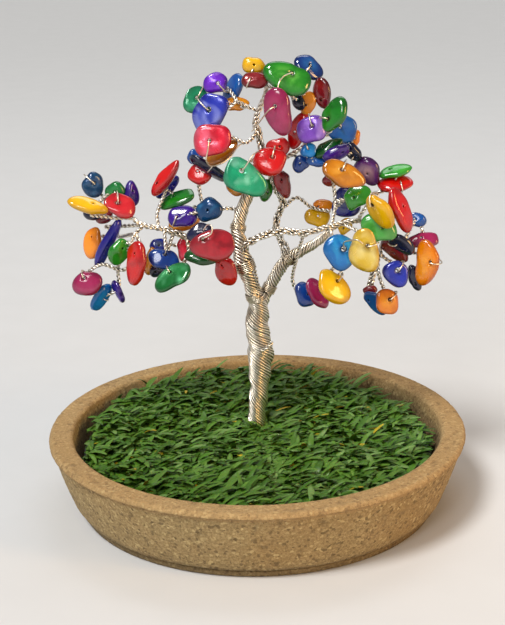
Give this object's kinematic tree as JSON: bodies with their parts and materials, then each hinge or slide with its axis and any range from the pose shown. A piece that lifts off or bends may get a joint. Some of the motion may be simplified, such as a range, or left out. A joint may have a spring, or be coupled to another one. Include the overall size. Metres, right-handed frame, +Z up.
{
  "type": "gem tree ornament",
  "caption": "Small ornamental tree of twisted silver wire hung with polished dyed chips, standing in artificial turf in a round footed clay saucer.",
  "frame": {"origin": "centre of the saucer underside, on the surface the object stands on", "axes": "+Z up along the trunk, -Y towards the front of the tree, +X to the right as seen from the front"},
  "size_m": [0.12, 0.12, 0.1266],
  "materials": {
    "pressed_clay": "matt, granular, unglazed, dark and pale flecks",
    "filler": "matt, hidden",
    "glue": "satin, hidden",
    "turf_backing": "matt",
    "turf": "satin",
    "silver_wire": "bright drawn wire, champagne silver",
    "chip_purple": "polished, dyed",
    "chip_blue": "polished, dyed",
    "chip_green": "polished, dyed",
    "chip_pink_pearl": "polished, pearly",
    "chip_amber": "polished, translucent",
    "chip_dark_red": "polished, dyed",
    "chip_navy": "polished, dyed",
    "chip_teal": "polished, dyed",
    "chip_yellow": "polished, dyed",
    "chip_coral": "polished, dyed",
    "chip_orange": "polished, dyed",
    "chip_indigo": "polished, dyed",
    "chip_red": "polished, dyed",
    "chip_magenta": "polished, dyed",
    "chip_pearl_green": "polished, pearly",
    "chip_crimson": "polished, dyed",
    "chip_sea_green": "polished, dyed",
    "chip_blue_pearl": "polished, pearly",
    "chip_lilac": "polished, dyed",
    "chip_clear_blue": "polished, translucent",
    "chip_teal_pearl": "polished, pearly",
    "chip_clear_purple": "polished, translucent",
    "chip_jade": "polished, dyed",
    "chip_yellow_pearl": "polished, pearly"
  },
  "bodies": {
    "root": {"saucer": "pressed_clay", "filler_disc": "filler", "glue_pad": "glue", "turf_backing": "turf_backing", "turf_pile": "turf", "trunk": "silver_wire", "left_stem": "silver_wire", "right_stem": "silver_wire", "left_bough": "silver_wire", "front_bough": "silver_wire", "crown_wires": "silver_wire", "far_left_spray": "chip_purple", "low_left_spray": "chip_blue", "high_left_spray": "chip_green", "low_left_inner_spray": "chip_pink_pearl", "crown_left_spray": "chip_amber", "crown_top_spray": "chip_dark_red", "high_right_spray": "chip_purple", "right_spray": "chip_green", "low_right_spray": "chip_navy"},
    "far_teal_chip": {"far_teal_chip": "chip_teal"},
    "far_yellow_chip": {"far_yellow_chip": "chip_yellow"},
    "coral_chip": {"coral_chip": "chip_coral"},
    "far_orange_chip": {"far_orange_chip": "chip_orange"},
    "indigo_chip": {"indigo_chip": "chip_indigo"},
    "left_green_chip": {"left_green_chip": "chip_green"},
    "left_red_chip": {"left_red_chip": "chip_red"},
    "low_magenta_chip": {"low_magenta_chip": "chip_magenta"},
    "high_red_chip": {"high_red_chip": "chip_red"},
    "left_blue_chip": {"left_blue_chip": "chip_blue"},
    "pearl_green_chip": {"pearl_green_chip": "chip_pearl_green"},
    "crimson_chip": {"crimson_chip": "chip_crimson"},
    "low_red_chip": {"low_red_chip": "chip_red"},
    "pink_pearl_chip": {"pink_pearl_chip": "chip_pink_pearl"},
    "sea_green_chip": {"sea_green_chip": "chip_sea_green"},
    "blue_pearl_chip": {"blue_pearl_chip": "chip_blue_pearl"},
    "lilac_chip": {"lilac_chip": "chip_lilac"},
    "crown_blue_chip": {"crown_blue_chip": "chip_blue"},
    "crown_green_chip": {"crown_green_chip": "chip_green"},
    "crown_magenta_chip": {"crown_magenta_chip": "chip_magenta"},
    "crown_glass_chip": {"crown_glass_chip": "chip_clear_blue"},
    "teal_pearl_chip": {"teal_pearl_chip": "chip_teal_pearl"},
    "heart_red_chip": {"heart_red_chip": "chip_red"},
    "lilac_pearl_chip": {"lilac_pearl_chip": "chip_lilac"},
    "right_green_chip": {"right_green_chip": "chip_green"},
    "cupped_blue_chip": {"cupped_blue_chip": "chip_blue"},
    "amber_leaf_chip": {"amber_leaf_chip": "chip_amber"},
    "clear_purple_chip": {"clear_purple_chip": "chip_clear_purple"},
    "clear_blue_chip": {"clear_blue_chip": "chip_clear_blue"},
    "right_yellow_chip": {"right_yellow_chip": "chip_yellow"},
    "right_red_chip": {"right_red_chip": "chip_red"},
    "jade_chip": {"jade_chip": "chip_jade"},
    "low_blue_chip": {"low_blue_chip": "chip_blue"},
    "yellow_pearl_chip": {"yellow_pearl_chip": "chip_yellow_pearl"},
    "hanging_blue_chip": {"hanging_blue_chip": "chip_blue"},
    "hanging_red_chip": {"hanging_red_chip": "chip_dark_red"},
    "hanging_yellow_chip": {"hanging_yellow_chip": "chip_yellow"},
    "big_orange_chip": {"big_orange_chip": "chip_orange"},
    "low_pearl_chip": {"low_pearl_chip": "chip_blue_pearl"},
    "low_orange_chip": {"low_orange_chip": "chip_orange"}
  },
  "joints": [
    {"name": "far_teal_turn", "type": "hinge", "parent": "root", "child": "far_teal_chip", "pos_m": [-0.045, 0.01, 0.092], "axis": [-0.3418, 0.9397, 0.0119], "range_deg": [-25, 25]},
    {"name": "far_yellow_turn", "type": "hinge", "parent": "root", "child": "far_yellow_chip", "pos_m": [-0.0445, 0.0015, 0.087], "axis": [-0.2628, 0.4384, -0.8595], "range_deg": [-8, 25]},
    {"name": "coral_turn", "type": "hinge", "parent": "root", "child": "coral_chip", "pos_m": [-0.038, 0.0045, 0.087], "axis": [-0.2424, 0.8192, -0.5198], "range_deg": [-10, 25]},
    {"name": "far_orange_turn", "type": "hinge", "parent": "root", "child": "far_orange_chip", "pos_m": [-0.0455, 0.009, 0.0765], "axis": [0.6209, 0.766, -0.1664], "range_deg": [-4, 25]},
    {"name": "indigo_turn", "type": "hinge", "parent": "root", "child": "indigo_chip", "pos_m": [-0.0395, 0.006, 0.0785], "axis": [-0.814, 0.4067, 0.4147], "range_deg": [-12, 25]},
    {"name": "left_green_turn", "type": "hinge", "parent": "root", "child": "left_green_chip", "pos_m": [-0.037, 0.001, 0.0755], "axis": [-0.4532, 0.866, 0.2113], "range_deg": [-25, 25]},
    {"name": "left_red_turn", "type": "hinge", "parent": "root", "child": "left_red_chip", "pos_m": [-0.0325, -0.002, 0.0745], "axis": [0.568, 0.8192, -0.0798], "range_deg": [-25, 15]},
    {"name": "low_magenta_turn", "type": "hinge", "parent": "root", "child": "low_magenta_chip", "pos_m": [-0.048, 0.0025, 0.0665], "axis": [0.0594, 0.9848, -0.1632], "range_deg": [-15, 25]},
    {"name": "high_red_turn", "type": "hinge", "parent": "root", "child": "high_red_chip", "pos_m": [-0.026, 0.01, 0.091], "axis": [0.5647, 0.7071, -0.4255], "range_deg": [-25, 25]},
    {"name": "left_blue_turn", "type": "hinge", "parent": "root", "child": "left_blue_chip", "pos_m": [-0.025, 0.0015, 0.0725], "axis": [-0.1193, 0.8192, -0.561], "range_deg": [-25, 25]},
    {"name": "pearl_green_turn", "type": "hinge", "parent": "root", "child": "pearl_green_chip", "pos_m": [-0.023, -0.004, 0.069], "axis": [0.4172, 0.6428, -0.6425], "range_deg": [-25, 25]},
    {"name": "crimson_turn", "type": "hinge", "parent": "root", "child": "crimson_chip", "pos_m": [-0.014, -0.0065, 0.0795], "axis": [0.0289, 0.9781, -0.2059], "range_deg": [-25, 25]},
    {"name": "low_red_turn", "type": "hinge", "parent": "root", "child": "low_red_chip", "pos_m": [-0.0085, 0.001, 0.07], "axis": [0.483, 0.866, 0.1294], "range_deg": [-25, 10]},
    {"name": "pink_pearl_turn", "type": "hinge", "parent": "root", "child": "pink_pearl_chip", "pos_m": [-0.0115, -0.001, 0.1055], "axis": [0.0711, 0.9781, -0.1954], "range_deg": [-25, 25]},
    {"name": "sea_green_turn", "type": "hinge", "parent": "root", "child": "sea_green_chip", "pos_m": [-0.015, 0.009, 0.1155], "axis": [-0.1294, 0.9659, -0.2241], "range_deg": [-20, 25]},
    {"name": "blue_pearl_turn", "type": "hinge", "parent": "root", "child": "blue_pearl_chip", "pos_m": [-0.0115, 0.0045, 0.113], "axis": [0.2241, 0.9659, -0.1294], "range_deg": [-20, 25]},
    {"name": "lilac_turn", "type": "hinge", "parent": "root", "child": "lilac_chip", "pos_m": [-0.009, 0.0085, 0.1195], "axis": [0.0594, 0.9848, -0.1632], "range_deg": [-25, 25]},
    {"name": "crown_blue_turn", "type": "hinge", "parent": "root", "child": "crown_blue_chip", "pos_m": [-0.0055, 0.0125, 0.116], "axis": [0.7424, 0.5736, -0.3462], "range_deg": [-25, 25]},
    {"name": "crown_green_turn", "type": "hinge", "parent": "root", "child": "crown_green_chip", "pos_m": [0.011, 0.0025, 0.1225], "axis": [-0.1281, 0.9272, -0.352], "range_deg": [-25, 25]},
    {"name": "crown_magenta_turn", "type": "hinge", "parent": "root", "child": "crown_magenta_chip", "pos_m": [0.0065, -0.0025, 0.115], "axis": [0.2059, 0.9781, 0.0289], "range_deg": [-25, 25]},
    {"name": "crown_glass_turn", "type": "hinge", "parent": "root", "child": "crown_glass_chip", "pos_m": [0.016, 0.012, 0.123], "axis": [-0.3687, 0.766, -0.5265], "range_deg": [-25, 25]},
    {"name": "teal_pearl_turn", "type": "hinge", "parent": "root", "child": "teal_pearl_chip", "pos_m": [-0.003, -0.003, 0.0975], "axis": [-0.1391, 0.9781, -0.1545], "range_deg": [-25, 25]},
    {"name": "heart_red_turn", "type": "hinge", "parent": "root", "child": "heart_red_chip", "pos_m": [0.0055, 0.002, 0.1], "axis": [0.0449, 0.9659, -0.2549], "range_deg": [-25, 25]},
    {"name": "lilac_pearl_turn", "type": "hinge", "parent": "root", "child": "lilac_pearl_chip", "pos_m": [0.0165, 0.002, 0.1085], "axis": [0.1336, 0.9781, -0.1593], "range_deg": [-25, 25]},
    {"name": "right_green_turn", "type": "hinge", "parent": "root", "child": "right_green_chip", "pos_m": [0.021, -0.003, 0.111], "axis": [0.5795, 0.7431, -0.3346], "range_deg": [-25, 25]},
    {"name": "cupped_blue_turn", "type": "hinge", "parent": "root", "child": "cupped_blue_chip", "pos_m": [0.0245, 0.008, 0.107], "axis": [-0.1116, 0.9848, -0.133], "range_deg": [-25, 5]},
    {"name": "amber_leaf_turn", "type": "hinge", "parent": "root", "child": "amber_leaf_chip", "pos_m": [0.024, -0.003, 0.097], "axis": [-0.1919, 0.9063, -0.3766], "range_deg": [-25, 25]},
    {"name": "clear_purple_turn", "type": "hinge", "parent": "root", "child": "clear_purple_chip", "pos_m": [0.0325, 0.008, 0.094], "axis": [0.366, 0.9063, 0.2113], "range_deg": [-25, 25]},
    {"name": "clear_blue_turn", "type": "hinge", "parent": "root", "child": "clear_blue_chip", "pos_m": [0.027, 0.011, 0.086], "axis": [0.1677, 0.9848, -0.0449], "range_deg": [-25, 25]},
    {"name": "right_yellow_turn", "type": "hinge", "parent": "root", "child": "right_yellow_chip", "pos_m": [0.033, -0.004, 0.088], "axis": [0.5043, 0.788, 0.3531], "range_deg": [-25, 1]},
    {"name": "right_red_turn", "type": "hinge", "parent": "root", "child": "right_red_chip", "pos_m": [0.041, 0.0015, 0.0855], "axis": [-0.528, 0.8192, -0.2241], "range_deg": [-25, 6]},
    {"name": "jade_turn", "type": "hinge", "parent": "root", "child": "jade_chip", "pos_m": [0.0355, -0.0005, 0.08], "axis": [-0.0885, 0.9659, -0.2432], "range_deg": [-25, 25]},
    {"name": "low_blue_turn", "type": "hinge", "parent": "root", "child": "low_blue_chip", "pos_m": [0.0245, -0.005, 0.0755], "axis": [-0.1388, 0.9703, -0.1982], "range_deg": [-25, 25]},
    {"name": "yellow_pearl_turn", "type": "hinge", "parent": "root", "child": "yellow_pearl_chip", "pos_m": [0.031, -0.009, 0.0775], "axis": [0.1378, 0.9903, 0.0194], "range_deg": [-25, 25]},
    {"name": "hanging_blue_turn", "type": "hinge", "parent": "root", "child": "hanging_blue_chip", "pos_m": [0.0145, 0.006, 0.059], "axis": [-0.4967, 0.8192, -0.2868], "range_deg": [-25, 25]},
    {"name": "hanging_red_turn", "type": "hinge", "parent": "root", "child": "hanging_red_chip", "pos_m": [0.018, 0.0025, 0.0605], "axis": [-0.6302, 0.6691, -0.3938], "range_deg": [-25, 25]},
    {"name": "hanging_yellow_turn", "type": "hinge", "parent": "root", "child": "hanging_yellow_chip", "pos_m": [0.0225, -0.002, 0.065], "axis": [-0.4545, 0.766, -0.4545], "range_deg": [-25, 25]},
    {"name": "big_orange_turn", "type": "hinge", "parent": "root", "child": "big_orange_chip", "pos_m": [0.05, 0.0015, 0.0695], "axis": [0.4677, 0.8829, -0.0409], "range_deg": [-25, 3]},
    {"name": "low_pearl_turn", "type": "hinge", "parent": "root", "child": "low_pearl_chip", "pos_m": [0.04, -0.001, 0.068], "axis": [-0.1116, 0.9848, -0.133], "range_deg": [-25, 25]},
    {"name": "low_orange_turn", "type": "hinge", "parent": "root", "child": "low_orange_chip", "pos_m": [0.0375, -0.001, 0.0595], "axis": [-0.2962, 0.9397, -0.171], "range_deg": [-25, 25]}
  ]
}
